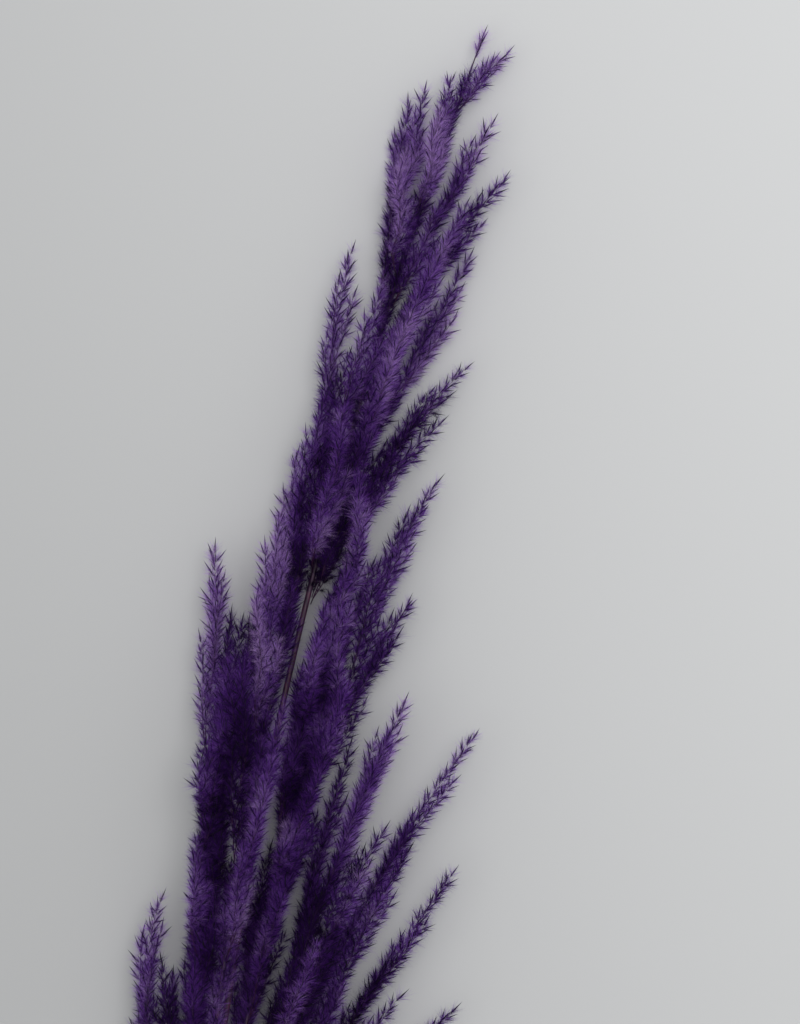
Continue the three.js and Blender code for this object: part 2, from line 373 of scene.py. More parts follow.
def plain_rod(rings: int, sides: int, part: Part, tone: float = 0.5) -> Facets:
    """Makes the straight rod, one unit long and one unit in radius, that bent() takes.

    Args:
        rings: How many rings it has.
        sides: How many sides.
        part: The finish it wears.
        tone: Its tone.

    Returns:
        The rod along Z.
    """
    heights = np.linspace(0, 1, rings)
    profile = [(0.0, 0.0), *[(1.0, float(h)) for h in heights], (0.0, 1.0)]
    return Facets.from_bmesh(lathe(profile, sides), part, tone)


def above_surface(corners: Array, softness: float = 0.6 * MM) -> Array:
    """Lays what would reach through the surface gently on it, with no two points brought together.

    Args:
        corners: The points.
        softness: The height over which they ease onto the surface.

    Returns:
        The points, all above the surface.
    """
    laid = corners.copy()
    height = (corners[:, 2] - SURFACE_GAP) / softness
    laid[:, 2] = SURFACE_GAP + softness * np.logaddexp(0, height)
    return laid


def in_scene(name: str, data: bpy.types.ID) -> bpy.types.Object:
    """Makes an object at the origin, in the scene.

    Args:
        name: The object's name.
        data: Its mesh, curve, camera or light.

    Returns:
        The object.
    """
    made = bpy.data.objects.new(name, data)
    bpy.context.scene.collection.objects.link(made)
    return made


def mesh_object(name: str, shape: Facets, finishes: list[Material]) -> bpy.types.Object:
    """Makes a piece from a shape, with its tone map and finishes.

    Args:
        name: The piece's name.
        shape: Its triangles.
        finishes: Its materials, in the order of Part.

    Returns:
        The piece, at the origin.
    """
    mesh = bpy.data.meshes.new(name)
    mesh.vertices.add(len(shape.corners))
    mesh.vertices.foreach_set("co", above_surface(shape.corners).astype(np.float32).ravel())
    count = len(shape.triangles)
    mesh.loops.add(count * 3)
    mesh.loops.foreach_set("vertex_index", shape.triangles.astype(np.int32).ravel())
    mesh.polygons.add(count)
    mesh.polygons.foreach_set("loop_start", np.arange(0, count * 3, 3, dtype=np.int32))
    mesh.polygons.foreach_set("loop_total", np.full(count, 3, dtype=np.int32))
    mesh.polygons.foreach_set("material_index", shape.part.astype(np.int32))
    mesh.polygons.foreach_set("use_smooth", np.ones(count, dtype=bool))
    bands = np.array([PART_BANDS[part] for part in Part])[shape.part]
    step = np.floor(np.clip(shape.tone, 0, 0.999) * TONE_STEPS)[:, None]
    width = (bands[:, 1:] - bands[:, :1]) / TONE_STEPS
    u = bands[:, :1] + (step + 0.1 + 0.8 * shape.chart[:, :, 0]) * width
    v = 0.02 + 0.96 * shape.chart[:, :, 1]
    layer = mesh.uv_layers.new(name=TONE_MAP)
    layer.uv.foreach_set("vector", np.stack([u, v], -1).astype(np.float32).ravel())
    for finish in finishes:
        mesh.materials.append(finish)
    mesh.update()
    mesh.validate()
    return in_scene(name, mesh)


# ---- Finishes ----


@dataclass(frozen=True)
class Nodes:
    """A material's node tree, with short ways to add to it."""

    tree: bpy.types.NodeTree

    def add(self, kind: str, inputs: dict[str | int, object] | None = None, **settings: object) -> Node:
        """Adds a node.

        Args:
            kind: The node's type name.
            inputs: What its inputs take, each a value or a socket to read.
            settings: Its properties by name.

        Returns:
            The node.
        """
        node = self.tree.nodes.new(kind)
        for key, value in settings.items():
            setattr(node, key, value)
        self.give(node, inputs or {})
        return node

    def give(self, node: Node, inputs: dict[str | int, object]) -> None:
        """Sets a node's inputs.

        Args:
            node: The node.
            inputs: What its inputs take, each a value or a socket to read.
        """
        for key, value in inputs.items():
            if isinstance(value, Socket):
                self.tree.links.new(value, node.inputs[key])
            else:
                node.inputs[key].default_value = value

    def ramp(self, factor: Socket, stops: list[tuple[float, tuple]]) -> Socket:
        """Adds a colour ramp.

        Args:
            factor: What the ramp reads.
            stops: Position and colour of each stop.

        Returns:
            The ramp's colour.
        """
        node = self.add("ShaderNodeValToRGB", {"Fac": factor})
        elements = node.color_ramp.elements
        while len(elements) < len(stops):
            elements.new(0.5)
        for element, (position, colour) in zip(elements, stops):
            element.position, element.color = position, colour
        return node.outputs["Color"]

    def remap(self, value: Socket, old: Span, new: Span) -> Socket:
        """Maps a value from its old range to a new one."""
        ends = {"From Min": old[0], "From Max": old[1], "To Min": new[0], "To Max": new[1]}
        return self.add("ShaderNodeMapRange", {"Value": value, **ends}).outputs["Result"]

    def mixed(self, factor: object, first: object, second: object, blend: str = "MIX") -> Socket:
        """Mixes two colours by a factor, each of the three a socket or a constant."""
        inputs = {0: factor, 6: first, 7: second}
        return self.add("ShaderNodeMix", inputs, data_type="RGBA", blend_type=blend).outputs[2]

    def dyed(self, colour: Socket, place: Socket, mottle: Tree, scale: float, depth: float) -> Socket:
        """Makes a colour uneven, as dye takes unevenly.

        Args:
            colour: The even colour.
            place: The coordinates.
            mottle: The dye mottle group.
            scale: How fine the blotches are.
            depth: How strong they are.

        Returns:
            The uneven colour.
        """
        uptake = self.add("ShaderNodeGroup", node_tree=mottle)
        self.give(uptake, {"Vector": place, "Scale": scale, "Depth": depth})
        return self.mixed(1.0, colour, uptake.outputs["Uptake"], "MULTIPLY")


def new_material(name: str) -> tuple[Material, Nodes, Node]:
    """Starts a material.

    Args:
        name: The material's name.

    Returns:
        The material, its nodes and its Principled shader.
    """
    material = bpy.data.materials.new(name)
    material.use_nodes = True
    nodes = Nodes(material.node_tree)
    return material, nodes, material.node_tree.nodes["Principled BSDF"]


def dye_mottle_group() -> Tree:
    """Builds the group that says how much dye each spot took up.

    Returns:
        The group: it takes a vector, a scale and a depth, and gives a factor round 1.
    """
    group = bpy.data.node_groups.new("dye_mottle", "ShaderNodeTree")
    for name, kind in (("Vector", "Vector"), ("Scale", "Float"), ("Depth", "Float")):
        group.interface.new_socket(name, in_out="INPUT", socket_type=f"NodeSocket{kind}")
    group.interface.new_socket("Uptake", in_out="OUTPUT", socket_type="NodeSocketFloat")
    nodes = Nodes(group)
    given, given_out = nodes.add("NodeGroupInput"), nodes.add("NodeGroupOutput")
    read = {"Vector": given.outputs["Vector"], "Scale": given.outputs["Scale"], "Detail": 3.0}
    noise = nodes.add("ShaderNodeTexNoise", read)
    centred = nodes.add("ShaderNodeMath", {0: noise.outputs["Fac"], 1: 0.5}, operation="SUBTRACT")
    read = {0: centred.outputs[0], 1: given.outputs["Depth"], 2: 1.0}
    scaled = nodes.add("ShaderNodeMath", read, operation="MULTIPLY_ADD")
    nodes.give(given_out, {"Uptake": scaled.outputs[0]})
    return group


@dataclass(frozen=True)
class PlumeFinish:
    """One of a plume's three finishes: colours by tone, darkened or paled along the shape."""

    name: str
    part: Part
    tones: list[tuple[float, tuple]]
    # For the hairs this darkening of the roots is partly their own colour and partly painted shade of the
    # dense tuft cores; for spikelets and stalks it is their own paler base.
    root_shade: tuple
    root_reach: float
    roughness: float
    shine: float
    sheer: float = 0.0
    streak: float = 0.35
    streak_scale: tuple[float, float, float] = (60.0, 5.0, 1.0)

    def material(self, mottle: Tree) -> Material:
        """Builds the material.

        Args:
            mottle: The dye mottle group.

        Returns:
            The material, which reads the piece's own tone map.
        """
        material, nodes, shader = new_material(self.name)
        place = nodes.add("ShaderNodeUVMap", uv_map=TONE_MAP).outputs["UV"]
        parts = nodes.add("ShaderNodeSeparateXYZ", {"Vector": place})
        tone = nodes.remap(parts.outputs["X"], PART_BANDS[self.part], (0.0, 1.0))
        near_root = nodes.remap(parts.outputs["Y"], (0.0, self.root_reach), (1.0, 0.0))
        # For the hairs the root darkening is partly painted shade of the dense tuft cores.
        rooted = nodes.mixed(near_root, nodes.ramp(tone, self.tones), self.root_shade)
        drawn = nodes.add("ShaderNodeVectorMath", {0: place, 1: self.streak_scale}, operation="MULTIPLY")
        shade = nodes.dyed(rooted, drawn.outputs["Vector"], mottle, 1.0, self.streak)
        look = {"Base Color": shade, "Roughness": self.roughness, "Specular IOR Level": self.shine}
        nodes.give(shader, look)
        if self.sheer > 0:
            glow = nodes.add("ShaderNodeBsdfTranslucent", {"Color": shade})
            inputs = {"Fac": self.sheer, 1: shader.outputs["BSDF"], 2: glow.outputs["BSDF"]}
            blend = nodes.add("ShaderNodeMixShader", inputs)
            out = material.node_tree.nodes["Material Output"]
            nodes.give(out, {"Surface": blend.outputs["Shader"]})
        return material


class Grain(Enum):
    """The textures that a dry surface can have: a node's type and the output that it gives."""

    FIBRE = ("ShaderNodeTexNoise", "Fac")
    CELLS = ("ShaderNodeTexVoronoi", "Distance")


@dataclass(frozen=True)
class DryFinish:
    """A dry plant surface: a fine texture in two or three colours, blotches of dye, and slight relief."""

    name: str
    grain: Grain
    grain_scale: tuple[float, float, float]
    tones: list[tuple[float, tuple]]
    blotch_scale: float
    blotch_depth: float
    roughness: float
    detail: float = 0.0
    groove_roughness: float = 0.0
    sheen: float = 0.0
    relief: float = 0.0
    relief_height: float = 0.0

    def material(self, mottle: Tree) -> Material:
        """Builds the material.

        Args:
            mottle: The dye mottle group.

        Returns:
            The material, which reads object coordinates.
        """
        material, nodes, shader = new_material(self.name)
        place = nodes.add("ShaderNodeTexCoord").outputs["Object"]
        drawn = nodes.add("ShaderNodeMapping", {"Vector": place, "Scale": self.grain_scale})
        kind, output = self.grain.value
        read = {"Vector": drawn.outputs["Vector"], "Scale": 1.0, "Detail": self.detail}
        value = nodes.add(kind, read).outputs[output]
        colour = nodes.ramp(value, self.tones)
        colour = nodes.dyed(colour, place, mottle, self.blotch_scale, self.blotch_depth)
        look = {"Base Color": colour, "Roughness": self.roughness, "Sheen Weight": self.sheen}
        nodes.give(shader, look)
        if self.groove_roughness > 0:
            grooved = self.roughness + self.groove_roughness
            nodes.give(shader, {"Roughness": nodes.remap(value, (0.3, 0.7), (grooved, self.roughness))})
        if self.relief > 0:
            raised = {"Strength": self.relief, "Distance": self.relief_height, "Height": value}
            nodes.give(shader, {"Normal": nodes.add("ShaderNodeBump", raised).outputs["Normal"]})
        return material


CULM = DryFinish(
    name="dyed_stem",
    grain=Grain.FIBRE,
    grain_scale=(900.0, 9.0, 900.0),
    tones=[(0.32, rgba(32, 12, 36)), (0.52, rgba(60, 26, 52)), (0.72, rgba(92, 48, 70))],
    blotch_scale=26.0,
    blotch_depth=0.9,
    roughness=0.5,
    detail=4.0,
    groove_roughness=0.12,
    relief=0.35,
    relief_height=0.15 * MM,
)
RACHIS = replace(
    CULM,
    name="dyed_rachis",
    tones=[(0.32, rgba(24, 10, 30)), (0.52, rgba(48, 20, 48)), (0.72, rgba(72, 38, 70))],
)
PITH = DryFinish(
    name="cut_pith",
    grain=Grain.CELLS,
    grain_scale=(2200.0, 2200.0, 2200.0),
    tones=[(0.12, rgba(112, 78, 70)), (0.4, rgba(196, 172, 140))],
    blotch_scale=700.0,
    blotch_depth=0.5,
    roughness=0.9,
)
JUTE = DryFinish(
    name="jute",
    grain=Grain.FIBRE,
    grain_scale=(1900.0, 1900.0, 1900.0),
    tones=[(0.34, rgba(112, 82, 50)), (0.5, rgba(168, 132, 88)), (0.68, rgba(206, 178, 132))],
    blotch_scale=240.0,
    blotch_depth=0.5,
    roughness=0.95,
    detail=5.0,
    sheen=0.25,
    relief=0.6,
    relief_height=0.12 * MM,
)
HAIR = PlumeFinish(
    name="silky_hair",
    part=Part.HAIR,
    tones=[
        (0.0, rgba(24, 9, 38)),
        (0.25, rgba(50, 20, 80)),
        (0.5, rgba(92, 42, 144)),
        (0.75, rgba(154, 94, 210)),
        (1.0, rgba(220, 182, 246)),
    ],
    # The dark hair roots are partly the hairs' own colour and partly painted shade of the dense tuft
    # cores.
    root_shade=rgba(28, 9, 46),
    root_reach=0.36,
    roughness=0.6,
    shine=0.08,
    sheer=0.6,
)
SPIKELET = PlumeFinish(
    name="spikelet_husk",
    part=Part.SPIKELET,
    tones=[
        (0.0, rgba(12, 4, 18)),
        (0.45, rgba(24, 8, 38)),
        (0.8, rgba(42, 16, 66)),
        (1.0, rgba(74, 32, 108)),
    ],
    root_shade=rgba(50, 20, 68),
    root_reach=0.3,
    roughness=0.55,
    shine=0.15,
)
STALK = PlumeFinish(
    name="fine_stalk",
    part=Part.STALK,
    tones=[(0.0, rgba(26, 9, 34)), (0.6, rgba(48, 18, 54)), (1.0, rgba(72, 32, 68))],
    root_shade=rgba(62, 26, 60),
    root_reach=0.6,
    roughness=0.5,
    shine=0.3,
)


# ---- The plume's smallest parts ----


@dataclass
class Sprigs:
    """Short twigs of pointed spikelets in silky hairs, in several forms that racemes pick from."""

    forms: int = 8
    spikelet_length: float = 10.2 * MM
    spikelet_radius: float = 0.54 * MM
    hair_length: float = 9.4 * MM
    hair_width: float = 0.18 * MM
    hairs: int = 46
    hair_lean: float = math.radians(60)
    hair_sizes: Span = (0.5, 1.1)
    root_spread: float = 0.3 * MM
    root_heights: Span = (-0.4, 2.4)
    twig_length: float = 2.2 * MM
    twig_radius: float = 0.17 * MM
    fork_height: float = 0.4
    fork_size: float = 0.84
    fork_leans: Span = (22, 34)
    end_leans: Span = (2, 8)
    slight_size: float = 1.15
    spikelet_tones: Span = (-0.25, 0.3)
    tuft_tones: Span = (-0.08, 0.08)
    hair_tones: Span = (-0.16, 0.16)
    rng: Chances = field(default_factory=lambda: np.random.default_rng(SEED))

    def spikelet(self) -> Facets:
        """Turns one spikelet: a fine neck, a slim body and a drawn-out point.

        Returns:
            The spikelet along Z.
        """
        r, h = self.spikelet_radius, self.spikelet_length
        profile = [(0.0, 0.0), (0.6 * r, 0.14 * h), (r, 0.4 * h), (0.0, h)]
        return Facets.from_bmesh(lathe(profile, 3), Part.SPIKELET, 0.3)

    def twig(self) -> Facets:
        """Turns the twig that carries a sprig's spikelets."""
        r, h = self.twig_radius, self.twig_length
        return Facets.from_bmesh(lathe([(0.0, -0.3 * MM), (r, 0.0), (0.0, 1.3 * h)], 3), Part.STALK, 0.5)

    def hair(self) -> Facets:
        """Makes one hair, a flat sliver that narrows to a point.

        Returns:
            The hair, along Z from its root.
        """
        bm = bmesh.new()
        bmesh.ops.create_circle(bm, cap_ends=True, segments=3, radius=1.0)
        layer = bm.loops.layers.uv.new(TONE_MAP)
        tip = max(bm.verts, key=lambda vert: vert.co.y)
        for vert in bm.verts:
            side = 0.0 if vert == tip else math.copysign(0.5, vert.co.x)
            vert.co = (side * self.hair_width, 0, self.hair_length if vert == tip else 0)
        for loop in bm.faces[:][0].loops:
            loop[layer].uv = (loop.vert.co.x / self.hair_width + 0.5, loop.vert.co.z / self.hair_length)
        return Facets.from_bmesh(bm, Part.HAIR, 0.5)

    def tuft(self) -> Facets:
        """Sets hairs round the lower part of one spikelet.

        Returns:
            The hairs.
        """
        rng, count = self.rng, self.hairs
        turns = np.arange(count) * GOLDEN_TURN + rng.uniform(0, math.tau)
        leans = self.hair_lean * np.sqrt(rng.uniform(0.02, 1, count))
        ways = leaning(leans, turns)
        roots = ways * self.root_spread
        roots[:, 2] += rng.uniform(*self.root_heights, count) * MM
        axes = aimed(ways, rng.uniform(0, math.tau, count), rng.uniform(*self.hair_sizes, count))
        return self.hair().placed(axes, roots, rng.uniform(*self.hair_tones, count))

    def form(self, spikelets: int, size: float) -> Facets:
        """Makes one sprig: a spikelet at the twig's end, and others that fork off below it.

        Args:
            spikelets: How many spikelets it carries.
            size: The size of the spikelets.

        Returns:
            The sprig, along Z from where it leaves the raceme.
        """
        rng = self.rng
        shapes = [self.twig()]
        start = rng.uniform(0, math.tau)
        for index in range(spikelets):
            forked = index > 0
            height = self.twig_length * (self.fork_height if forked else 1.0)
            turn = start + math.pi * index
            lean = math.radians(rng.uniform(*(self.fork_leans if forked else self.end_leans)))
            way = leaning(np.array([lean]), np.array([turn]))
            scale = rng.uniform(0.85, 1.1, 1) * size * (self.fork_size if forked else 1.0)
            axes = aimed(way, rng.uniform(0, math.tau, 1), scale)
            root = np.array([[0.0, 0.0, height]])
            shapes.append(self.spikelet().placed(axes, root, rng.uniform(*self.spikelet_tones, 1)))
            shapes.append(self.tuft().placed(axes, root, rng.uniform(*self.tuft_tones, 1)))
        return Facets.joined(shapes)


@dataclass
class Raceme:
    """One raceme: a fine stalk with sprigs all round it, closing to a point."""

    path: Path
    bare: float = 0.0
    tone: float = 0.0
    fullness: float = 1.0
    pitch: float = 2.2 * MM
    stalk_radius: float = 0.34 * MM
    point: float = 8 * MM
    opening: float = 14 * MM
    lean: float = 40.0
    slight_reach: float = 9 * MM
    stalk_taper: tuple = (1.0, 0.8, 0.5, 0.1)
    place_scatter: float = 0.8
    turn_scatter: float = 0.3
    lean_scatter: float = 9.0
    tip_lean: float = 4.0
    lean_closing: float = 0.3
    first_size: float = 0.62
    size_closing: float = 0.12
    sizes: Span = (0.85, 1.1)
    tone_scatter: float = 0.06

    def shapes(self, kit: "RacemeKit", rng: Chances) -> list[Facets]:
        """Builds the raceme.

        Args:
            kit: The shapes that racemes are made of.
            rng: Where its chances come from.

        Returns:
            Its stalk and its sprigs.
        """
        length = self.path.length
        stalk = bent(kit.stalk, self.path, self.stalk_radius * np.array(self.stalk_taper))
        end = length - self.point * self.fullness
        spots = np.concatenate([np.arange(self.bare, end - 1.5 * MM, self.pitch), [end]])
        count = len(spots)
        share = np.clip(spots / length, 0, 1)
        moved = rng.uniform(-self.place_scatter, self.place_scatter, count) * MM
        places, ways = self.path.at(spots + moved)
        sideways, upward = across(ways)
        turns = np.arange(count) * GOLDEN_TURN + rng.uniform(0, math.tau)
        turns = turns + rng.normal(0, self.turn_scatter, count)
        scatter = rng.uniform(-self.lean_scatter, self.lean_scatter, count)
        lean = np.radians(self.lean * (1 - self.lean_closing * share**3) + scatter)
        lean[-1] = math.radians(self.tip_lean)
        out = sideways * np.cos(turns)[:, None] + upward * np.sin(turns)[:, None]
        heading = ways * np.cos(lean)[:, None] + out * np.sin(lean)[:, None]
        opened = np.clip((spots - self.bare) / self.opening, 0, 1)
        size = self.first_size + (1 - self.first_size) * opened
        size = size * (1.0 - self.size_closing * share**3) * self.fullness
        size = size * rng.uniform(*self.sizes, count)
        axes = aimed(heading, rng.uniform(0, math.tau, count), size)
        # The crowding term darkens sprigs that lie among other branches: painted shade.
        tones = self.tone + kit.crowd_shade.tones(places) + rng.normal(0, self.tone_scatter, count)
        slight = spots > length - self.slight_reach
        made = [stalk]
        for small, forms in ((False, kit.full), (True, kit.slight)):
            pick = rng.integers(0, len(forms), count)
            for index, form in enumerate(forms):
                chosen = (pick == index) & (slight == small)
                if chosen.any():
                    made.append(form.placed(axes[chosen], places[chosen], tones[chosen]))
        return made


@dataclass
class RacemeKit:
    """The shapes and finishes that every plume is made of.

    The full sprigs are forked and stand along a raceme; the slight ones are the larger, single
    spikelets at its end.
    """

    full: list[Facets]
    slight: list[Facets]
    stalk: Facets
    crowd_shade: "PaintedCrowdShade"
    finishes: list[Material]

    @staticmethod
    def made(mottle: Tree, branches: list[str]) -> "RacemeKit":
        """Args:
            mottle: The dye mottle group.
            branches: The plume branches' names.
        """
        sprigs = Sprigs()
        return RacemeKit(
            [sprigs.form(2, 1.0) for _ in range(sprigs.forms)],
            [sprigs.form(1, sprigs.slight_size) for _ in range(sprigs.forms)],
            plain_rod(9, 4, Part.STALK),
            PaintedCrowdShade.of(branches),
            [finish.material(mottle) for finish in (HAIR, SPIKELET, STALK)],
        )


# ---- Reading the frame ----


@dataclass(frozen=True)
class RodSolid:
    """What a rod-shaped solid of the frame says: the middle of each of its rings, and their radii."""

    middles: Array
    radii: Array

    @staticmethod
    def of(node: str, sides: int = 6) -> "RodSolid":
        """Reads a rod from its node.

        Args:
            node: The node's name.
            sides: The corners on each of its rings.

        Returns:
            The rod, from its lower end to its tip.
        """
        bm = bmesh.new()
        bm.from_mesh(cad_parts[node].data)
        bmesh.ops.remove_doubles(bm, verts=bm.verts[:], dist=0.004 * MM)
        corners = np.array([vert.co for vert in bm.verts])
        bm.free()
        chord = unit(corners[corners[:, 1].argmax()] - corners[corners[:, 1].argmin()])
        corners = corners[(corners @ chord).argsort()]
        groups = [corners[: sides + 1]]
        groups += [corners[i : i + sides] for i in range(sides + 1, len(corners) - sides - 1, sides)]
        groups.append(corners[-sides - 1 :])
        middles = np.array([group.mean(0) for group in groups])
        radii = np.array(
            [np.linalg.norm(group - middle, axis=1).max() for group, middle in zip(groups, middles)]
        )
        return RodSolid(middles, radii)


@dataclass(frozen=True)
class PaintedCrowdShade:
    """How closely the plume branches lie round a place, which decides how much painted shade darkens the
    tone there.
    """

    lines: list[Array]
    # Painted shade: open_tone is given in the open, and each further branch close by takes step off it.
    reach: float = 15 * MM
    open_tone: float = 0.32
    step: float = 0.19

    @staticmethod
    def of(nodes: list[str]) -> "PaintedCrowdShade":
        """Reads the middle lines of the branches with these names."""
        return PaintedCrowdShade([Path.through(RodSolid.of(node).middles, 4).points for node in nodes])

    def tones(self, places: Array) -> Array:
        """Says what is added to the tone at places: more in the open, less between branches, as painted
        shade.

        Args:
            places: The places.

        Returns:
            One number per place.
        """
        near = np.zeros(len(places))
        for line in self.lines:
            gaps = np.linalg.norm(places[:, None] - line[None], axis=-1).min(axis=1)
            near += np.clip(1.5 - gaps / self.reach, 0, 1)
        # Darker where several branches lie close: painted shade of the crowded plume core.
        return self.open_tone - self.step * np.maximum(near - 1, 0)


# ---- Plume branches ----


@dataclass
class PlumeBranch:
    """A branch of a plume: its main raceme and the side racemes that leave it."""

    node: str
    index: int
    side_gap: float = 17 * MM
    side_length: float = 62 * MM
    side_spread: float = 8 * MM
    first_side: float = 0.03
    last_side: float = 0.58
    longest_side: float = 0.7
    side_sizes: Span = (0.7, 1.2)
    side_bow: float = 0.85
    side_fullness: float = 0.92
    bare_share: float = 0.12
    turn_scatter: float = 0.35
    tone_scatter: float = 0.14
    side_tone_scatter: float = 0.13
    fade_middle: Span = (0.5, 0.74)
    # The first slope lightens branches on the bundle's right: painted light. The second makes them paler
    # toward the plume tips.
    fade_slope: Span = (0.14, 0.36)

    def build(self, kit: RacemeKit) -> bpy.types.Object:
        """Builds the branch along its solid's middle line and dresses it.

        Args:
            kit: What racemes are made of.

        Returns:
            The finished piece, which stands for the node.
        """
        rng = np.random.default_rng(SEED * 1000 + self.index)
        path = Path.through(RodSolid.of(self.node).middles)
        # The branch's tone takes painted light on the bundle's right.
        tone = rng.normal(0.0, self.tone_scatter) + self.tip_fade_and_painted_side_light(path)
        racemes = [Raceme(path, bare=self.bare_share * path.length, tone=tone)]
        count = round((self.last_side - self.first_side) * path.length / self.side_gap) + 1
        for number, share in enumerate(np.linspace(self.first_side, self.last_side, count)):
            racemes.append(self.side_raceme(path, share, number, tone, rng))
        shapes = [shape for raceme in racemes for shape in raceme.shapes(kit, rng)]
        piece = mesh_object(f"{self.node}_racemes", Facets.joined(shapes), kit.finishes)
        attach(piece, "root")
        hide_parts(self.node)
        LOG.info("%s: %d racemes, %d triangles", piece.name, len(racemes), len(piece.data.polygons))
        return piece

    def tip_fade_and_painted_side_light(self, path: Path) -> float:
        """Says how much paler than the middle of the bundle a branch is: paler toward the plume tips, and
        lighter on the bundle's right as painted light.

        Args:
            path: The branch's middle line.

        Returns:
            What is added to its tone: more toward the plume tips, and more on the bundle's right as
                painted light.
        """
        low, high = np.array(CAD_BOX)
        place = ((path.points.mean(axis=0) - low) / (high - low))[:2]
        return float(np.dot(self.fade_slope, place - self.fade_middle))

    def side_raceme(self, path: Path, share: float, number: int, tone: float, rng: Chances) -> Raceme:
        """Grows one side raceme: it leaves the main one, swings out and runs on beside it.

        Args:
            path: The branch's middle line.
            share: Where on it the raceme leaves, from 0 to 1.
            number: Its place in the order round the branch.
            tone: The branch's tone.
            rng: Where its chances come from.

        Returns:
            The raceme.
        """
        left = (1 - share) * path.length
        length = min(self.side_length * rng.uniform(*self.side_sizes), self.longest_side * left)
        turn = number * GOLDEN_TURN + rng.normal(0, self.turn_scatter)
        spread = self.side_spread * rng.uniform(*self.side_sizes) * length / self.side_length
        line = path.branching(share * path.length, length, turn, spread, self.side_bow, 9)
        own_tone = tone + rng.normal(0, self.side_tone_scatter)
        return Raceme(line, bare=0.1 * length, tone=own_tone, fullness=self.side_fullness)


@dataclass
class Stem:
    """A cut stem: its culm with slightly swollen joints, and the fine rachis inside the plume."""

    number: int
    sides: int = 12
    rings: int = 150
    joint_gap: float = 172 * MM
    joint_swell: float = 0.16
    joint_crease: float = 0.08
    joint_reach: float = 3.2 * MM
    rachis_share: float = 350 * MM
    rachis_slimness: float = 0.6
    raceme_gap: float = 23 * MM
    short_lengths: Span = (36, 58)
    short_reaches: Span = (5, 9)
    last_short: float = 46 * MM
    end_gap: float = 14 * MM
    closed_end: float = 30 * MM
    closing: float = 90 * MM
    turn_scatter: float = 0.3
    cover_pitch: float = 1.6 * MM
    bare_end: float = 0.0
    low_racemes: float = 0.0

    def build(self, kit: RacemeKit, skins: list[Material]) -> None:
        """Builds the stem and the short racemes on its rachis.

        Args:
            kit: What racemes are made of.
            skins: The materials of its culm, its cut face and its rachis.
        """
        node = f"stem_{self.number}"
        solid = RodSolid.of(node)
        path = Path.through(solid.middles)
        self.build_culm(node, solid, path, skins)
        self.build_rachis_racemes(path, kit)

    def build_culm(self, node: str, solid: RodSolid, path: Path, skins: list[Material]) -> None:
        """Builds the round stem with its joints and its cut face.

        Args:
            node: The node that it stands for.
            solid: The node's rings.
            path: The stem's middle line.
            skins: The materials of its culm, its cut face and its rachis.
        """
        share = np.linspace(0, 1, self.rings)
        radii = np.interp(share, np.linspace(0, 1, len(solid.radii)), solid.radii)
        distance = share * path.length
        offset = (self.number * 0.37 % 1) * self.joint_gap
        from_joint = (distance - offset + self.joint_gap / 2) % self.joint_gap - self.joint_gap / 2
        swell = np.exp(-((from_joint / self.joint_reach) ** 2))
        crease = np.exp(-(((from_joint - 0.9 * self.joint_reach) / (0.35 * self.joint_reach)) ** 2))
        culm = distance < path.length - self.rachis_share
        rachis_start = path.at(np.array([path.length - self.rachis_share]))[0][0][1]
        radii = radii * (1 + culm * (self.joint_swell * swell - self.joint_crease * crease))
        along_rachis = np.clip((distance - path.length) / self.rachis_share + 1, 0, 1)
        radii = radii * (1 - (1 - self.rachis_slimness) * along_rachis)
        shape = bent(plain_rod(self.rings, self.sides, Part.HAIR), path, radii)
        reach = shape.corners[shape.triangles][:, :, 1].max(axis=1)
        finish = np.where(reach > rachis_start, 2, 0)
        finish[reach < shape.corners[:, 1].min() + MM] = 1
        shape = Facets(shape.corners, shape.triangles, finish, shape.tone, shape.chart)
        piece = mesh_object(f"{node}_culm", shape, skins)
        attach(piece, "root")
        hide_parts(node)
        LOG.info("%s: %.0f mm long", piece.name, path.length / MM)

    def build_rachis_racemes(self, path: Path, kit: RacemeKit) -> None:
        """Sets short racemes along the rachis, and a small tuft on its bare end.

        Args:
            path: The stem's middle line.
            kit: What racemes are made of.
        """
        rng = np.random.default_rng(SEED * 5000 + self.number)
        tip = path.length
        start = tip - self.rachis_share + 25 * MM - self.low_racemes
        shapes: list[Facets] = []
        end_gap = max(self.bare_end, self.end_gap)
        for number, leave in enumerate(np.arange(start, tip - self.last_short, self.raceme_gap)):
            length = min(rng.uniform(*self.short_lengths) * MM, tip - leave - end_gap)
            opened = min(1.0, (tip - leave - self.closed_end) / self.closing)
            turn = number * GOLDEN_TURN + rng.normal(0, self.turn_scatter)
            reach = opened * rng.uniform(*self.short_reaches) * MM
            line = path.branching(leave, length, turn, reach, 0.9, 7)
            fullness = 0.9 * (0.6 + 0.4 * opened)
            tone = rng.normal(-0.03, 0.08)
            shapes += Raceme(line, bare=4 * MM, tone=tone, fullness=fullness).shapes(kit, rng)
        covered, _ = path.at(np.linspace(start, tip + 5 * MM - 1.3 * self.bare_end, 24))
        shapes += Raceme(Path.through(covered), tone=-0.1, pitch=self.cover_pitch).shapes(kit, rng)
        if self.bare_end:
            end_places, _ = path.at(np.linspace(tip - 15 * MM, tip + 3 * MM, 4))
            tuft = Raceme(Path.through(end_places), tone=0.2, opening=MM, lean=14, fullness=0.9)
            shapes += tuft.shapes(kit, rng)
        piece = mesh_object(f"plume_{self.number}_rachis_racemes", Facets.joined(shapes), kit.finishes)
        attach(piece, "root")
        LOG.info("%s: %d triangles", piece.name, len(piece.data.polygons))


# ---- The tie ----


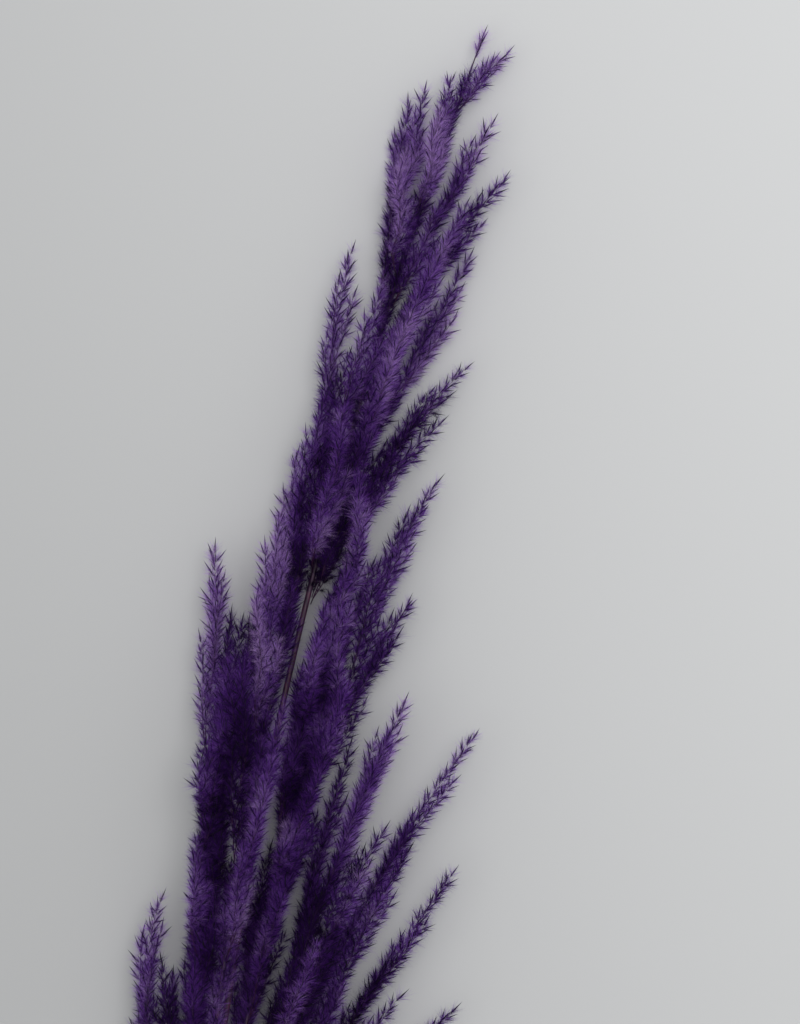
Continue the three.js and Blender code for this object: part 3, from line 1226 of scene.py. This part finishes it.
@dataclass
class TwineTie:
    """Three-strand jute twine, wound round the stems and knotted on top with two short tails."""

    node: str = "twine_tie"
    diameter: float = 2.6 * MM
    turns: int = 5
    turn_gap: float = 0.25 * MM
    knot_size: tuple[float, float, float] = (1.15 * MM, 1.0 * MM, 1.0 * MM)
    tail: float = 24 * MM
    twist: float = 7.5 * MM
    strand_share: float = 0.27
    strand_offset: float = 0.235
    fibres: int = 420
    fibre_length: float = 3.2 * MM
    fibre_width: float = 0.1 * MM

    def middle_line(self) -> list[Array]:
        """Works out the twine's middle lines from the frame.

        Returns:
            The coil, the knot and both tails.
        """
        low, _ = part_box(self.node)
        stem = Path.through(RodSolid.of("stem_1").middles)
        start = low.y + self.diameter / 2
        advance = self.turns * (self.diameter + self.turn_gap)
        middle_y = start + advance / 2
        places, _ = stem.at(np.linspace(0, stem.length, 2400))
        centre = places[np.abs(places[:, 1] - middle_y).argmin()]
        radius = centre[2] - low.z - self.diameter / 2
        turn = np.linspace(0, 1, self.turns * 60)
        angle = math.pi / 2 + math.tau * self.turns * turn
        x, z = centre[0] + radius * np.cos(angle), centre[2] + radius * np.sin(angle)
        coil = np.stack([x, start + advance * turn, z], -1)
        top = np.array([centre[0], middle_y, centre[2] + radius + 0.75 * self.diameter])
        t = np.linspace(0, math.tau, 90)
        trefoil = [np.sin(t) + 2 * np.sin(2 * t), np.cos(t) - 2 * np.cos(2 * t), -np.sin(3 * t)]
        knot = top + np.stack(trefoil, -1) * self.knot_size
        lines = [coil, knot]
        for hand in (-1, 1):
            stations = top + np.array(
                [
                    (0, 0, 0),
                    (hand * 0.3 * self.tail, 0.08 * self.tail, 0.7 * MM),
                    (hand * 0.56 * self.tail, 0.34 * self.tail, -0.6 * MM),
                    (hand * 0.74 * self.tail, 0.78 * self.tail, -4.6 * MM),
                ]
            )
            lines.append(Path.through(stations, 14).points)
        return lines

    def strands(self, line: Array) -> list[Array]:
        """Twists three strands round a middle line.

        Args:
            line: The middle line's points.

        Returns:
            Each strand's points.
        """
        path = Path(line)
        distances = np.arange(0, path.length, 0.5 * MM)
        places, ways = path.at(distances)
        first = unit(np.cross(ways, unit(np.gradient(ways, axis=0) + 1e-6)))
        second = np.cross(ways, first)
        made = []
        for strand in range(3):
            turn = math.tau * (distances / self.twist + strand / 3)
            out = first * np.cos(turn)[:, None] + second * np.sin(turn)[:, None]
            made.append(places + out * self.diameter * self.strand_offset)
        return made

    def build(self, jute: Material) -> None:
        """Builds the twine and its loose fibres.

        Args:
            jute: The twine's material.
        """
        curve = bpy.data.curves.new("twine", "CURVE")
        curve.dimensions = "3D"
        curve.bevel_depth = self.diameter * self.strand_share
        curve.bevel_resolution = 2
        curve.use_fill_caps = True
        for line in self.middle_line():
            for strand in self.strands(line):
                spline = curve.splines.new("POLY")
                spline.points.add(len(strand) - 1)
                points = np.concatenate([strand, np.ones((len(strand), 1))], axis=1)
                spline.points.foreach_set("co", points.astype(np.float32).ravel())
        holder = in_scene("twine", curve)
        bpy.context.view_layer.update()
        mesh = bpy.data.meshes.new_from_object(holder)
        bpy.data.objects.remove(holder)
        bm = bmesh.new()
        bm.from_mesh(mesh)
        bmesh.ops.remove_doubles(bm, verts=bm.verts[:], dist=1e-7)
        bmesh.ops.recalc_face_normals(bm, faces=bm.faces[:])
        bm.to_mesh(mesh)
        bm.free()
        for polygon in mesh.polygons:
            polygon.use_smooth = True
        mesh.materials.clear()
        mesh.materials.append(jute)
        mesh.name = "twine_tie_strands"
        piece = in_scene("twine_tie_strands", mesh)
        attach(piece, "root")
        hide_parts(self.node)
        LOG.info("%s: %d faces", piece.name, len(mesh.polygons))
        self.build_fibres(mesh, jute)

    def build_fibres(self, mesh: bpy.types.Mesh, jute: Material) -> None:
        """Sets loose fibres on the twine.

        Args:
            mesh: The twine.
            jute: The twine's material.
        """
        rng = np.random.default_rng(SEED + 77)
        spots = rng.choice(len(mesh.vertices), self.fibres, replace=False)
        places = np.array([mesh.vertices[int(i)].co for i in spots])
        ways = np.array([mesh.vertices[int(i)].normal for i in spots])
        ways = unit(ways + rng.normal(0, 0.7, ways.shape))
        hair = Sprigs(hair_length=self.fibre_length, hair_width=self.fibre_width).hair()
        axes = aimed(ways, rng.uniform(0, math.tau, self.fibres), rng.uniform(0.5, 1.2, self.fibres))
        shape = hair.placed(axes, places, rng.uniform(-0.3, 0.3, self.fibres))
        piece = mesh_object("twine_tie_fibres", shape, [jute])
        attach(piece, "root")


# ---- Floor, light and camera ----


@dataclass
class Studio:
    """A pale floor with painted light that brightens it toward the right and the plume tips, soft light
    from above and to the right, and a camera that looks straight down.

    Each lamp has its place from the view's middle, its width and its power.
    """

    framed_height: float = 614 * MM
    tip_below_edge: float = 18 * MM
    tip_right_of_middle: float = 51 * MM
    camera_height: float = 2.1
    sensor: float = 36.0
    focus_height: float = 35 * MM
    floor_size: float = 12.0
    floor_tint: tuple = rgba(208, 208, 207)
    # Painted light: the floor's colour is scaled from darker at the lower left to brighter at the upper
    # right.
    painted_light_span: Span = (-0.25, 0.55)
    painted_light_fade: Span = (0.7, 1.07)
    painted_light_way: tuple[float, float, float] = (1.0, 0.42, 0.0)
    key: tuple = ((0.4, 0.5, 2.9), 1.8, 30.0)
    fill: tuple = ((-1.2, -0.6, 2.6), 2.4, 12.0)
    sky_colour: tuple = (0.95, 0.97, 1.0, 1.0)
    sky_strength: float = 0.62

    def build(self) -> None:
        """Builds the floor, the lights and the camera."""
        _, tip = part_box("stem_1")
        middle_x = tip.x - self.tip_right_of_middle
        middle_y = tip.y + self.tip_below_edge - self.framed_height / 2
        self.build_floor()
        self.build_lights(middle_x, middle_y)
        data = bpy.data.cameras.new("overhead")
        data.sensor_width = self.sensor
        data.lens = self.sensor * (self.camera_height - self.focus_height) / self.framed_height
        camera = in_scene("overhead", data)
        camera.location = (middle_x, middle_y, self.camera_height)
        bpy.context.scene.camera = camera
        bpy.context.scene.view_settings.view_transform = "Standard"

    def build_floor(self) -> None:
        """Lays the pale floor under the bundle, with painted light: darker toward the lower left and
        brighter toward the upper right.
        """
        bm = bmesh.new()
        bmesh.ops.create_grid(bm, x_segments=1, y_segments=1, size=self.floor_size / 2)
        mesh = bpy.data.meshes.new("floor")
        bm.to_mesh(mesh)
        bm.free()
        material, nodes, shader = new_material("pale_floor")
        place = nodes.add("ShaderNodeTexCoord").outputs["Object"]
        noise = nodes.add("ShaderNodeTexNoise", {"Vector": place, "Scale": 1.2})
        shade = nodes.remap(noise.outputs["Fac"], (0.0, 1.0), (0.98, 1.02))
        tint = nodes.mixed(1.0, self.floor_tint, shade, "MULTIPLY")
        # Painted light: the floor darkens toward the lower left and brightens toward the upper right.
        painted_light_slant = nodes.add("ShaderNodeVectorMath", {0: place, 1: self.painted_light_way}, operation="DOT_PRODUCT")
        painted_light_fade = nodes.remap(painted_light_slant.outputs["Value"], self.painted_light_span, self.painted_light_fade)
        shade = nodes.mixed(1.0, tint, painted_light_fade, "MULTIPLY")
        nodes.give(shader, {"Base Color": shade, "Roughness": 0.9, "Specular IOR Level": 0.1})
        mesh.materials.append(material)
        in_scene("floor", mesh)

    def build_lights(self, x: float, y: float) -> None:
        """Hangs the soft lights and sets the sky.

        Args:
            x: Where the view's middle is.
            y: The same along the bundle.
        """
        for name, (place, size, power) in (("key", self.key), ("fill", self.fill)):
            data = bpy.data.lights.new(name, "AREA")
            data.shape, data.size, data.energy = "DISK", size, power
            light = in_scene(name, data)
            light.location = (x + place[0], y + place[1], place[2])
            tilt = math.atan2(math.hypot(place[0], place[1]), place[2])
            light.rotation_euler = (tilt, 0.0, math.atan2(place[0], -place[1]))
        world = bpy.data.worlds.new("sky")
        world.use_nodes = True
        sky = {"Color": self.sky_colour, "Strength": self.sky_strength}
        Nodes(world.node_tree).give(world.node_tree.nodes["Background"], sky)
        bpy.context.scene.world = world


def main() -> None:
    """Builds the studio, the stems, the plumes and the tie, in that order."""
    logging.basicConfig(level=logging.INFO, format="%(name)s: %(message)s")
    Studio().build()
    mottle = dye_mottle_group()
    branches = sorted(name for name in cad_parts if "_branch_" in name)
    kit = RacemeKit.made(mottle, branches)
    skins = [finish.material(mottle) for finish in (CULM, PITH, RACHIS)]
    for number in range(1, 8):
        bare_end = 20 * MM if number == 1 else 0.0
        low_racemes = 140 * MM if number == 2 else 30 * MM
        Stem(number, bare_end=bare_end, low_racemes=low_racemes).build(kit, skins)
    for index, node in enumerate(branches):
        PlumeBranch(node, index).build(kit)
    TwineTie().build(JUTE.material(mottle))


if __name__ == "__main__":
    main()
